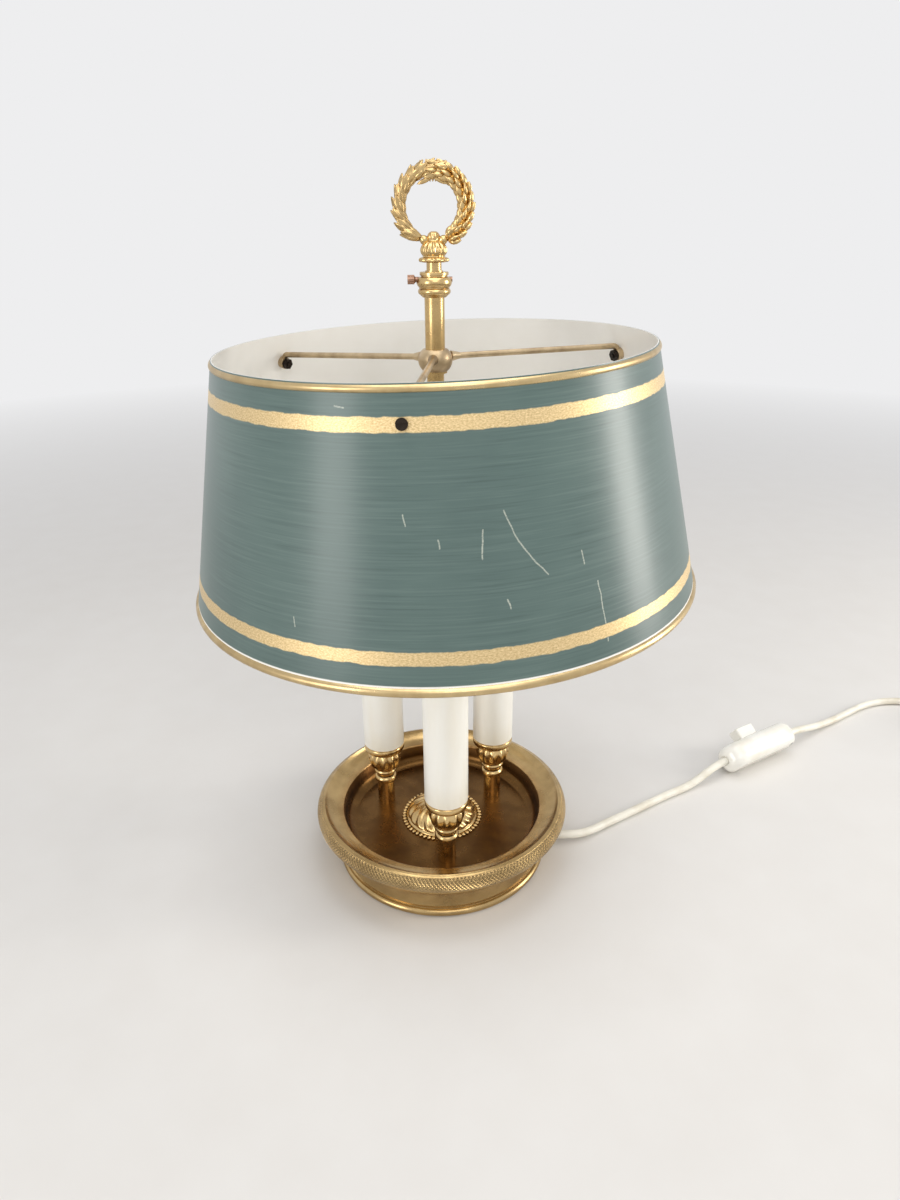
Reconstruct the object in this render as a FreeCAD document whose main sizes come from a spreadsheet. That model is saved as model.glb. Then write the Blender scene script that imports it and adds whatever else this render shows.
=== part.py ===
import FreeCAD, Part
import math
import os
import Sketcher
from FreeCAD import Placement, Rotation, Vector

# Bouillotte lamp: a spun brass dish on a weighted foot, three candle tubes round a stem, and a
# painted metal shade that slides and turns on the stem. Millimetres, +Z up, the origin at the
# middle of the foot's resting face, the front candle towards -Y.

doc = FreeCAD.newDocument("bouillotte_lamp")
sheet = doc.addObject("Spreadsheet::Sheet", "Size")

DRIVING_SIZES = (
    # dish
    ("foot_radius", 66.9), ("foot_inner", 63.4), ("ovolo_base", 78.6), ("lip_radius", 76.2),
    ("lip_height", 41.1), ("edge_radius", 65.6), ("edge_height", 35.6), ("floor_radius", 57.5),
    ("floor_height", 22.9), ("floor_gauge", 1.4),
    # inside the foot
    ("felt_top", 3.0), ("ballast_radius", 60.0), ("ballast_top", 12.0), ("nut_height", 4.0),
    ("exit_turn", -3.75), ("exit_height", 8.6), ("cord_radius", 2.8),
    # stem and handle
    ("stem_radius", 4.5), ("stem_bore", 3.4), ("stem_top", 362.0), ("rod_radius", 3.8),
    ("neck_base", 365.7), ("wreath_height", 391.0), ("wreath_radius", 15.6), ("wreath_tube", 1.9),
    ("rosette_radius", 22.6), ("rosette_height", 12.5),
    # candles
    ("candle_circle", 41.9), ("candle_turn", 3.8), ("post_radius", 5.7), ("nipple_radius", 4.9),
    ("neck_height", 39.5), ("cup_height", 44.2), ("rim_radius", 13.1), ("rim_height", 69.2),
    ("sleeve_radius", 13.1), ("sleeve_bore", 12.0), ("sleeve_length", 100.0),
    ("holder_radius", 11.4), ("holder_top", 164.0), ("bulb_radius", 17.5), ("bulb_length", 75.0),
    # shade and its carrier
    ("shade_top_radius", 113.3), ("shade_bottom_radius", 139.3), ("shade_top", 326.8),
    ("shade_bottom", 198.8), ("shade_gauge", 0.7), ("shade_tilt", -1.88), ("arm_turn", -7.0),
    ("arm_radius", 1.6), ("arm_height", 319.8), ("arm_end_height", 315.4), ("screw_height", 311.2),
    ("ball_height", 318.5), ("ball_radius", 8.4), ("ball_half_height", 5.5),
    ("sleeve_tube_radius", 5.1), ("running_gap", 0.08), ("collar_base", 349.4),
    ("collar_joint", 353.7), ("collar_top", 361.4), ("collar_radius", 8.6),
    # switch and plug
    ("switch_length", 70.0), ("switch_width", 25.0), ("switch_height", 19.0), ("switch_seam", 9.5),
    ("switch_wall", 1.8), ("switch_turn", 29.8), ("switch_roll", 55.0), ("switch_x", 244.2),
    ("switch_y", 85.3), ("switch_axis", 12.96), ("button_length", 17.0), ("button_width", 10.5),
    ("button_rise", 8.6), ("button_shift", -4.5),
    ("plug_length", 35.0), ("plug_width", 26.0), ("plug_depth", 13.7),
)
for row, (alias, value) in enumerate(DRIVING_SIZES, start=1):
    sheet.set(f"A{row}", alias)
    sheet.set(f"B{row}", str(value))
    sheet.setAlias(f"B{row}", alias)
doc.recompute()

NODES = []


def number(expression):
    """The present value of an expression on the sheet's sizes."""
    return float(sheet.evalExpression(str(expression)))


def size(alias):
    return number("Size." + alias)


def node(thing, label):
    """Marks an object as a finished sub-part and names it."""
    thing.Label = label
    NODES.append(thing)
    return thing


def bind(thing, **expressions):
    for key, expression in expressions.items():
        thing.setExpression(key.replace("__", "."), str(expression))


def plane_of(body, role):
    return next(f for f in body.Origin.OriginFeatures if f.Role == role)


def arc_between(start, end, radius, side):
    """Centre of the arc of the given radius from start to end, on one side of the chord."""
    chord = end - start
    half = chord.Length / 2
    across = Vector(-chord.y, chord.x, 0).normalize()
    return (start + end) / 2 + across * side * math.sqrt(radius ** 2 - half ** 2)


def draw_outline(sketch, outline):
    """Closes an outline of (x, y) or (x, y, radius, side) corners; a corner's arc runs to the next."""
    corners = [Vector(number(c[0]), number(c[1]), 0) for c in outline]
    count = len(outline)
    ends = []
    for i, corner in enumerate(outline):
        start, end = corners[i], corners[(i + 1) % count]
        if len(corner) == 2:
            sketch.addGeometry(Part.LineSegment(start, end), False)
            ends.append((1, 2))
            continue
        radius, side = number(corner[2]), corner[3]
        centre = arc_between(start, end, radius, side)
        first, last = (start, end) if side > 0 else (end, start)
        angles = [math.atan2(p.y - centre.y, p.x - centre.x) for p in (first, last)]
        circle = Part.Circle(centre, Vector(0, 0, 1), radius)
        sketch.addGeometry(Part.ArcOfCircle(circle, *angles), False)
        ends.append((1, 2) if side > 0 else (2, 1))
    for i in range(count):
        following = (i + 1) % count
        sketch.addConstraint(Sketcher.Constraint("Coincident", i, ends[i][1], following, ends[following][0]))
    for i, corner in enumerate(outline):
        for kind, axis, place in (("DistanceX", -2, corner[0]), ("DistanceY", -1, corner[1])):
            if str(place) == "0":
                sketch.addConstraint(Sketcher.Constraint("PointOnObject", i, ends[i][0], axis))
                continue
            index = sketch.addConstraint(Sketcher.Constraint(kind, -1, 1, i, ends[i][0], number(place)))
            sketch.setExpression(f"Constraints[{index}]", str(place))
        if len(corner) > 2:
            index = sketch.addConstraint(Sketcher.Constraint("Radius", i, number(corner[2])))
            sketch.setExpression(f"Constraints[{index}]", str(corner[2]))


def turned(name, outline):
    """A piece turned or spun about Z, from the (radius, height) corners of its half section."""
    body = doc.addObject("PartDesign::Body", name)
    sketch = body.newObject("Sketcher::SketchObject", name + "_section")
    sketch.AttachmentSupport = [(plane_of(body, "XZ_Plane"), "")]
    sketch.MapMode = "FlatFace"
    draw_outline(sketch, outline)
    revolution = body.newObject("PartDesign::Revolution", name + "_turning")
    revolution.Profile = sketch
    revolution.ReferenceAxis = (sketch, ["V_Axis"])
    revolution.Angle = 360
    return body


def rod(name, radius, bottom, height):
    cylinder = doc.addObject("Part::Cylinder", name)
    bind(cylinder, Radius=radius, Height=height, Placement__Base__z=bottom)
    return cylinder


def cut(name, base, *tools):
    """The base with the tools taken out of it."""
    tool = tools[0]
    if len(tools) > 1:
        tool = doc.addObject("Part::MultiFuse", name + "_cutters")
        tool.Shapes = list(tools)
    result = doc.addObject("Part::Cut", name + "_cut")
    result.Base, result.Tool = base, tool
    return result


def shaped(name, shape):
    """A sub-part whose shape is built by functions below, for forms that no sketch gives."""
    feature = doc.addObject("Part::Feature", name)
    feature.Shape = shape
    return feature


def stand_at(thing, turn, radius):
    """Moves a piece made on the Z axis out to its place on a circle; turn is from the front."""
    bind(thing, Placement__Base__x=f"{radius} * sin({turn})", Placement__Base__y=f"-{radius} * cos({turn})")
    return thing


def polar(turn, radius, height):
    angle = math.radians(turn)
    return Vector(radius * math.sin(angle), -radius * math.cos(angle), height)


# Dish: one spun sheet. Foot bead, two small steps, scotia, ovolo, lip, cove, then the inner wall
# down to the floor; the section's return keeps the sheet's gauge underneath.
DISH_SECTION = (
    ("Size.foot_inner", "0"),
    ("Size.foot_radius", "0", 2.6, 1),
    ("Size.foot_radius", 4.6),
    ("Size.foot_radius - 0.5", 4.6),
    ("Size.foot_radius - 0.5", 6.0),
    ("Size.foot_radius - 1.3", 6.4, 19.0, -1),
    ("Size.ovolo_base - 1.1", 28.0),
    ("Size.ovolo_base - 1.1", 29.5),
    ("Size.ovolo_base", 29.8, 5.9, 1),
    ("Size.lip_radius + 1.0", "Size.lip_height - 0.5"),
    ("Size.lip_radius", "Size.lip_height", 13.0, -1),
    ("Size.edge_radius", "Size.edge_height", 1.2, 1),
    ("Size.edge_radius - 1.4", "Size.edge_height - 1.4"),
    ("Size.edge_radius - 2.3", "Size.floor_height + 6.0", 6.6, -1),
    ("Size.floor_radius", "Size.floor_height"),
    (4.6, "Size.floor_height"),
    (4.6, "Size.floor_height - Size.floor_gauge"),
    ("Size.floor_radius", "Size.floor_height - Size.floor_gauge", 8.4, 1),
    ("Size.edge_radius - 0.6", "Size.floor_height + 5.4"),
    ("Size.edge_radius + 0.4", "Size.edge_height - 2.2"),
    ("Size.lip_radius - 0.7", "Size.lip_height - 2.6"),
    ("Size.ovolo_base - 0.3", 35.5),
    ("Size.ovolo_base - 1.6", 31.6),
    (73.4, 29.0, 17.0, 1),
    ("Size.foot_inner", 15.0),
)


CANDLE_TURNS = {
    "front": "Size.candle_turn",
    "left": "(Size.candle_turn - 120)",
    "right": "(Size.candle_turn + 120)",
}


def dish():
    """The spun sheet, with the holes for the three posts and for the cord."""
    spinning = turned("dish_spinning", DISH_SECTION)
    cutters = []
    for which, turn in CANDLE_TURNS.items():
        hole = rod("post_hole_" + which, "Size.nipple_radius + 0.1", "Size.floor_height - 5", 10)
        cutters.append(stand_at(hole, turn, "Size.candle_circle"))
    exit_hole = doc.addObject("Part::Cylinder", "exit_hole")
    bind(exit_hole, Radius="Size.cord_radius + 1.0", Height=20, Placement__Base__z="Size.exit_height",
         Placement__Base__x="55 * cos(Size.exit_turn)", Placement__Base__y="55 * sin(Size.exit_turn)")
    exit_hole.Placement.Rotation = Rotation(Vector(0, 0, 1), Vector(1, math.tan(math.radians(size("exit_turn"))), 0))
    cutters.append(exit_hole)
    node(cut("base_dish", spinning, *cutters), "base_dish")


def nut_shape(across_flats, bore, bottom, height):
    """A six-sided nut on the Z axis."""
    radius = across_flats / math.sqrt(3)
    corners = [polar(60 * k + 30, radius, bottom) for k in range(6)]
    face = Part.Face(Part.makePolygon(corners + corners[:1]))
    hole = Part.makeCylinder(bore, height + 2, Vector(0, 0, bottom - 1))
    return face.extrude(Vector(0, 0, height)).cut(hole)


BUSHING_FACE = 67.54


def inside_the_foot():
    """Ballast, felt, the stem's nut and washer, the posts' nuts and the wiring."""
    disc = turned("ballast_disc", (
        (5.0, 10.0), (13.0, 10.0), (13.0, "Size.felt_top"), ("Size.ballast_radius", "Size.felt_top"),
        ("Size.ballast_radius", "Size.ballast_top"), (15.0, "Size.ballast_top"),
        (14.0, "Size.floor_height - Size.floor_gauge"), (5.0, "Size.floor_height - Size.floor_gauge"),
    ))
    pocket = doc.addObject("Part::Box", "wiring_pocket")
    bind(pocket, Length=42, Width=17, Height=12, Placement__Base__x=20, Placement__Base__y=-12,
         Placement__Base__z=5)
    node(cut("ballast", disc, pocket), "ballast")
    node(turned("felt_disc", (
        ("0", "0"), ("Size.foot_inner - 0.4", "0"), ("Size.foot_inner - 0.4", "Size.felt_top"),
        ("0", "Size.felt_top"),
    )), "felt_pad")
    node(turned("stem_washer", ((4.6, 9.0), (9.5, 9.0), (9.5, 10.0), (4.6, 10.0))), "stem_washer")
    node(shaped("stem_nut", nut_shape(15.0, 4.45, 9.0 - size("nut_height"), size("nut_height"))), "stem_nut")
    top = size("floor_height") - size("floor_gauge")
    nuts = []
    for turn in CANDLE_TURNS.values():
        nut = nut_shape(14.0, size("nipple_radius") + 0.03, top - 3.5, 3.5)
        nut.translate(polar(number(turn), size("candle_circle"), 0))
        nuts.append(nut)
    node(shaped("post_nuts", Part.makeCompound(nuts)), "post_nuts")
    block = doc.addObject("Part::Box", "terminal_body")
    bind(block, Length=20, Width=13, Height=7, Placement__Base__x=23, Placement__Base__y=-9.5,
         Placement__Base__z=5)
    screw_holes = []
    for k in range(2):
        hole = rod(f"terminal_hole_{k}", 1.6, 9.0, 5)
        bind(hole, Placement__Base__x=29, Placement__Base__y=-6 + 6 * k)
        screw_holes.append(hole)
    node(cut("terminal_block", block, *screw_holes), "terminal_block")
    direction = Vector(math.cos(math.radians(size("exit_turn"))), math.sin(math.radians(size("exit_turn"))), 0)
    height = Vector(0, 0, size("exit_height"))
    radius = size("cord_radius")
    lead = Part.makeCylinder(radius, BUSHING_FACE - 43.3, height + direction * 43.3, direction)
    lead = lead.cut(Part.makeBox(20, 13, 7, Vector(23, -9.5, 5)))
    node(shaped("inner_lead", lead), "inner_lead")
    bush = Part.makeCylinder(radius + 1.0, 5.2, height + direction * 61.0, direction)
    flange = Part.makeCylinder(radius + 1.7, BUSHING_FACE - 65.9, height + direction * 65.9, direction)
    bush = bush.fuse(flange).cut(Part.makeCylinder(radius + 0.05, 20, height + direction * 55, direction))
    node(shaped("cord_bushing", bush), "cord_bushing")


def stem_and_rod():
    node(turned("stem_tube", (
        ("Size.stem_bore", 4.6), (4.4, 4.6), (4.4, "Size.floor_height"),
        ("Size.stem_radius", "Size.floor_height"), ("Size.stem_radius", "Size.stem_top"),
        ("Size.stem_bore", "Size.stem_top"),
    )), "stem")
    node(shaped("stem_seat", nut_shape(13.0, size("stem_radius") + 0.03, size("floor_height"), 2.6)), "stem_seat_nut")
    node(turned("rod_turning", (
        ("0", "Size.stem_top - 22"), ("Size.stem_bore - 0.03", "Size.stem_top - 22"),
        ("Size.stem_bore - 0.03", "Size.stem_top"), ("Size.rod_radius", "Size.stem_top"),
        ("Size.rod_radius", "Size.neck_base"), ("0", "Size.neck_base"),
    )), "handle_rod")


def leaf(length, width, depth, curl=0.0):
    """A pointed leaf along +X, its ridge on +Z: facets between its two points and two cross ribs."""
    stations = ((0.28, 0.80, 0.85), (0.62, 0.86, 0.80))
    root = Vector(0, 0, 0)
    tip = Vector(length, 0, curl)
    rings = []
    for along, wide, deep in stations:
        lift = curl * along ** 2
        x, y = length * along, width * wide / 2
        rings.append([Vector(x, -y, lift), Vector(x, 0, lift + depth * deep), Vector(x, y, lift),
                      Vector(x, 0, lift - depth * deep)])
    facets = []
    for k in range(4):
        following = (k + 1) % 4
        a, b = rings[0][k], rings[0][following]
        c, d = rings[1][k], rings[1][following]
        facets += [(root, b, a), (a, b, d), (a, d, c), (c, d, tip)]
    faces = [Part.Face(Part.makePolygon(list(f) + [f[0]])) for f in facets]
    solid = Part.makeSolid(Part.makeShell(faces))
    if solid.Volume < 0:
        solid.reverse()
    return solid


def frame_placement(origin, along, outward):
    """Puts a leaf's root at origin, its length along one direction and its ridge outward."""
    x = Vector(along).normalize()
    y = Vector(outward).cross(x).normalize()
    z = x.cross(y)
    matrix = FreeCAD.Matrix(x.x, y.x, z.x, origin.x, x.y, y.y, z.y, origin.y,
                            x.z, y.z, z.z, origin.z, 0, 0, 0, 1)
    return Placement(matrix)


def wreath():
    """Two laurel branches rise from the fluted neck and cross their tips at the top."""
    centre = size("wreath_height")
    ring, tube = size("wreath_radius"), size("wreath_tube")
    rows, leaf_length = 9, 9.6
    core = Part.makeTorus(ring, tube, Vector(0, 0, centre), Vector(0, 1, 0))
    leaves = []
    for side in (-1, 1):
        for row in range(rows):
            sweep = math.radians(-62 + 141 * row / (rows - 1))
            out = Vector(side * math.cos(sweep), 0, math.sin(sweep))
            along = Vector(-side * math.sin(sweep), 0, math.cos(sweep))
            root = Vector(0, 0, centre) + out * ring
            for k in range(4):
                around = math.radians(45 + 90 * k)
                normal = out * math.cos(around) + Vector(0, 1, 0) * math.sin(around)
                heading = along + normal * 0.24
                place = frame_placement(root + normal * tube * 0.55, heading, normal)
                blade = leaf(leaf_length, 4.3, 1.15, 0.5)
                blade.Placement = place
                leaves.append(blade)
    return core, leaves


def neck():
    """Fluted bulb on a scalloped disc, with a ball and two buds where the branches spring."""
    base = size("neck_base")
    disc = Part.makeCylinder(7.4, 2.4, Vector(0, 0, base))
    bulb = Part.makeSphere(6.4, Vector(0, 0, base + 5.4), Vector(0, 0, 1), -57, 58, 360)
    flutes = []
    for k in range(12):
        foot = polar(30 * k, 6.7, base + 2.5)
        flutes.append(Part.makeCylinder(1.0, 8.0, foot))
    for k in range(14):
        flutes.append(Part.makeCylinder(0.8, 3.0, polar(360 / 14 * (k + 0.5), 7.7, base - 0.3)))
    turned_part = disc.fuse(bulb).cut(Part.makeCompound(flutes))
    ball = Part.makeSphere(3.2, Vector(0, 0, base + 11.3))
    buds = [Part.makeSphere(2.1, Vector(x, 0, base + 10.4)) for x in (-5.3, 5.3)]
    return turned_part.multiFuse([ball] + buds)


def handle():
    core, leaves = wreath()
    joined = core.multiFuse(leaves + [neck()])
    solids = sorted(joined.Solids, key=lambda s: -s.Volume)
    node(shaped("wreath_casting", solids[0]), "wreath_handle")


def rosette():
    """Domed boss round the stem, with swirled gadroons and a rounded edge."""
    floor, radius, rise = size("floor_height"), size("rosette_radius"), size("rosette_height")
    body = turned("rosette_turning", (
        (8.0, "Size.floor_height"), ("Size.rosette_radius + 0.9", "Size.floor_height", 1.3, 1),
        ("Size.rosette_radius", "Size.floor_height + 2.3", 26.0, 1),
        (8.6, "Size.floor_height + Size.rosette_height - 2.2", 3.2, -1),
        (6.6, "Size.floor_height + Size.rosette_height"),
        (6.6, "Size.floor_height + Size.rosette_height + 1.5"),
        (5.6, "Size.floor_height + Size.rosette_height + 2.3"),
        (5.6, "Size.floor_height + Size.rosette_height + 9"),
        ("Size.stem_radius + 0.1", "Size.floor_height + Size.rosette_height + 9"),
        ("Size.stem_radius + 0.1", 26.2), (8.0, 26.2),
    ))
    doc.recompute()
    gadroons = []
    count, swirl = 18, 24
    for k in range(count):
        foot = polar(360 / count * k, radius - 0.9, floor + 2.0)
        head = polar(360 / count * k + swirl, 8.4, floor + rise - 1.2)
        along = head - foot
        outward = Vector(foot.x + head.x, foot.y + head.y, 22)
        lobe = leaf(along.Length, 6.4, 2.6, 0.0)
        lobe.Placement = frame_placement(foot, along, outward)
        gadroons.append(lobe)
    bottom = Part.makeBox(80, 80, 20, Vector(-40, -40, floor - 20))
    joined = body.Shape.multiFuse(gadroons).cut(bottom)
    node(shaped("rosette_boss", joined.Solids[0]), "rosette")


def candle(which, turn):
    """One candle: post, leaf cup, tube, lampholder and bulb, on the circle round the stem."""
    def place(thing, label):
        stand_at(thing, turn, "Size.candle_circle")
        node(thing, label + "_" + which)

    place(turned("post_turning_" + which, (
        ("Size.nipple_radius - 1.4", 14.5), ("Size.nipple_radius", 14.5),
        ("Size.nipple_radius", "Size.floor_height"), ("Size.post_radius", "Size.floor_height"),
        ("Size.post_radius", "Size.neck_height"), ("Size.post_radius + 0.5", "Size.neck_height", 2.9, 1),
        ("Size.post_radius + 0.5", "Size.cup_height"), ("Size.nipple_radius", "Size.cup_height"),
        ("Size.nipple_radius", 84.0), ("Size.nipple_radius - 1.4", 84.0),
    )), "candle_post")
    cup = turned("cup_turning_" + which, (
        ("Size.nipple_radius + 0.1", "Size.cup_height"), (6.0, "Size.cup_height"), (5.8, 47.0),
        (6.6, 48.6, 14.0, -1), (9.2, 62.6), (11.2, 64.4), (12.4, 64.9),
        ("Size.rim_radius", 65.6), ("Size.rim_radius", "Size.rim_height"),
        ("Size.sleeve_bore + 0.5", "Size.rim_height"), ("Size.sleeve_bore + 0.5", "Size.rim_height + 0.9"),
        ("Size.sleeve_bore - 0.05", "Size.rim_height + 0.9"), ("Size.sleeve_bore - 0.05", 76.0),
        ("Size.sleeve_bore - 1.2", 76.0), ("Size.sleeve_bore - 1.2", 68.5), (7.6, 66.5),
        ("Size.nipple_radius + 0.1", 66.5),
    ))
    doc.recompute()
    leaves = []
    count = 10
    for k in range(count):
        foot = polar(360 / count * k, 5.6, 48.0)
        along = polar(360 / count * k, 10.2, 65.0) - foot
        blade = leaf(along.Length, 7.0, 1.6, 2.2)
        blade.Placement = frame_placement(foot, along, polar(360 / count * k, 1, 0))
        leaves.append(blade)
    bead = Part.makeTorus(6.3, 1.3, Vector(0, 0, 48.0))
    bore = Part.makeCylinder(size("nipple_radius") + 0.1, 30, Vector(0, 0, 40))
    joined = cup.Shape.multiFuse(leaves + [bead]).cut(bore)
    place(shaped("leaf_cup_casting_" + which, joined.Solids[0]), "leaf_cup")
    place(turned("sleeve_turning_" + which, (
        ("Size.sleeve_bore", "Size.rim_height + 0.9"), ("Size.sleeve_radius", "Size.rim_height + 0.9"),
        ("Size.sleeve_radius", "Size.rim_height + 0.9 + Size.sleeve_length"),
        ("Size.sleeve_bore", "Size.rim_height + 0.9 + Size.sleeve_length"),
    )), "candle_tube")
    place(turned("holder_turning_" + which, (
        ("Size.nipple_radius + 0.06", 76.0), ("Size.holder_radius", 76.0),
        ("Size.holder_radius", "Size.holder_top"),
        (7.2, "Size.holder_top"), (7.2, "Size.holder_top - 26"), ("0", "Size.holder_top - 26"),
        ("0", 90.0), ("Size.nipple_radius + 0.06", 90.0),
    )), "lampholder")
    place(turned("cap_turning_" + which, (
        ("0", "Size.holder_top - 26"), (3.0, "Size.holder_top - 26"), (6.9, "Size.holder_top - 22"),
        (6.9, "Size.holder_top + 1.0"), ("0", "Size.holder_top + 1.0"),
    )), "bulb_cap")
    place(turned("glass_turning_" + which, (
        ("0", "Size.holder_top + 1.0"), (7.2, "Size.holder_top + 1.0"),
        (7.8, "Size.holder_top + 9", 26.0, -1), ("Size.bulb_radius - 2.6", "Size.holder_top + 24", 14.0, 1),
        ("Size.bulb_radius - 2.8", "Size.holder_top + 41", 60.0, 1),
        (2.2, "Size.holder_top + Size.bulb_length - 1.2", 2.4, 1),
        (1.0, "Size.holder_top + Size.bulb_length"), ("0", "Size.holder_top + Size.bulb_length"),
    )), "bulb_glass")


SCREW_DROP = 3.6


def carrier():
    """Collar with its clamp screw, and the sleeve hung in it, on whose foot the ball turns."""
    gap = "Size.stem_radius + Size.running_gap"
    body = turned("collar_turning", (
        (gap, "Size.collar_joint + 1.4"), (6.1, "Size.collar_joint + 1.4"), (6.1, "Size.collar_joint"),
        (7.6, "Size.collar_joint"), ("Size.collar_radius - 0.6", "Size.collar_joint + 0.7", 3.0, 1),
        ("Size.collar_radius - 0.6", "Size.collar_top - 2.6"), (6.7, "Size.collar_top - 2.2"),
        (6.7, "Size.collar_top - 1.8"), (7.3, "Size.collar_top - 1.5"), (7.3, "Size.collar_top - 0.3"),
        (7.0, "Size.collar_top"), (gap, "Size.collar_top"),
    ))
    height = size("collar_top") - SCREW_DROP
    holes = []
    for name, turn, radius in (("clamp_hole", -1, 1.38), ("grub_hole", 1, 1.3)):
        hole = doc.addObject("Part::Cylinder", name)
        hole.Radius, hole.Height = radius, 12
        hole.Placement = Placement(Vector(0, 0, height), Rotation(Vector(0, 0, 1), Vector(turn, 0, 0)))
        holes.append(hole)
    node(cut("collar", body, *holes), "collar")
    node(turned("ring_turning", (
        ("Size.sleeve_tube_radius", "Size.collar_base"), (6.0, "Size.collar_base"),
        (7.4, "Size.collar_base + 1.3", 1.7, 1), (7.4, "Size.collar_joint"),
        ("Size.sleeve_tube_radius", "Size.collar_joint"),
    )), "collar_ring")
    low = "Size.ball_height - Size.ball_half_height"
    node(turned("sleeve_tube_turning", (
        (gap, low + " - 1.0"), (6.2, low + " - 1.0"), (6.2, low + " - 0.05"),
        ("Size.sleeve_tube_radius", low + " - 0.05"),
        ("Size.sleeve_tube_radius", "Size.collar_joint + 0.1"), (6.0, "Size.collar_joint + 0.1"),
        (6.0, "Size.collar_joint + 1.2"), (gap, "Size.collar_joint + 1.2"),
    )), "sliding_sleeve")
    shank = Part.makeCylinder(1.3, 5.6, Vector(-4.75, 0, height), Vector(-1, 0, 0))
    taper = Part.makeCone(1.3, 2.2, 0.9, Vector(-9.4, 0, height), Vector(-1, 0, 0))
    knob = Part.makeCylinder(2.25, 3.4, Vector(-10.0, 0, height), Vector(-1, 0, 0))
    grooves = []
    for k in range(10):
        angle = math.radians(36 * k)
        seat = Vector(-9.8, 2.35 * math.cos(angle), height + 2.35 * math.sin(angle))
        grooves.append(Part.makeCylinder(0.28, 4, seat, Vector(-1, 0, 0)))
    knob = knob.cut(Part.makeCompound(grooves))
    node(shaped("clamp_screw_turning", shank.multiFuse([taper, knob])), "clamp_screw")
    grub = Part.makeCylinder(1.3, 4.4, Vector(4.75, 0, height), Vector(1, 0, 0))
    grub = grub.cut(Part.makeBox(2, 0.5, 4, Vector(8.4, -0.25, height - 2)))
    node(shaped("grub_screw_turning", grub), "grub_screw")


def tilted(shape):
    """Gives a shade piece the small lean at which the arms hold the shade."""
    lean = Rotation(Vector(0, 1, 0), size("shade_tilt"))
    centre = Vector(0, 0, size("ball_height"))
    shape.Placement = Placement(Vector(), lean, centre)
    return shape


def bind_tilt(thing):
    lean = tilted(Part.makeBox(1, 1, 1)).Placement
    thing.Placement = lean
    return thing


def wall_radius(height):
    """Outer radius of the shade's cone at a height, as an expression."""
    slope = "(Size.shade_bottom_radius - Size.shade_top_radius) / (Size.shade_top - Size.shade_bottom)"
    return f"(Size.shade_top_radius + (Size.shade_top - ({height})) * {slope})"


def shade():
    """Cone of painted sheet with a half-round bead round its top and a rolled one at its foot."""
    top, bottom = "Size.shade_top", "Size.shade_bottom"
    body = turned("shade_spinning", (
        (wall_radius(bottom), bottom), (wall_radius(top), top),
        (wall_radius(top) + " - Size.shade_gauge", top), (wall_radius(bottom) + " - Size.shade_gauge", bottom),
    ))
    holes = []
    slope = math.degrees(math.atan2(size("shade_bottom_radius") - size("shade_top_radius"),
                                    size("shade_top") - size("shade_bottom")))
    for k in range(3):
        hole = doc.addObject("Part::Cylinder", f"screw_hole_{k}")
        hole.Radius, hole.Height = 1.6, 8
        hole.Placement = screw_frame(k, slope).multiply(Placement(Vector(0, 0, -4), Rotation()))
        holes.append(hole)
    node(bind_tilt(cut("shade_wall", body, *holes)), "shade_wall")
    upper, lower = "Size.shade_top - 0.5", "Size.shade_top - 3.6"
    node(bind_tilt(turned("top_bead_turning", (
        (wall_radius(lower), lower, 1.85, 1), (wall_radius(upper), upper),
    ))), "shade_top_bead")
    upper = "Size.shade_bottom + 3.2"
    node(bind_tilt(turned("bottom_bead_turning", (
        (wall_radius(bottom) + " - 1.5", "Size.shade_bottom - 0.8"),
        (wall_radius(bottom) + " + 0.2", "Size.shade_bottom - 0.8", 2.3, 1),
        (wall_radius(upper), upper), (wall_radius(bottom), bottom),
        (wall_radius(bottom) + " - 1.5", bottom),
    ))), "shade_bottom_bead")
    return slope


def screw_frame(k, slope):
    """Frame on the wall's outer face at one screw: +Z out along the wall's normal."""
    turn = size("arm_turn") + 120 * k
    radius = number(wall_radius("Size.screw_height"))
    up = math.radians(slope)
    outward = polar(turn, math.cos(up), math.sin(up))
    return Placement(polar(turn, radius, size("screw_height")), Rotation(Vector(0, 0, 1), outward))


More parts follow.
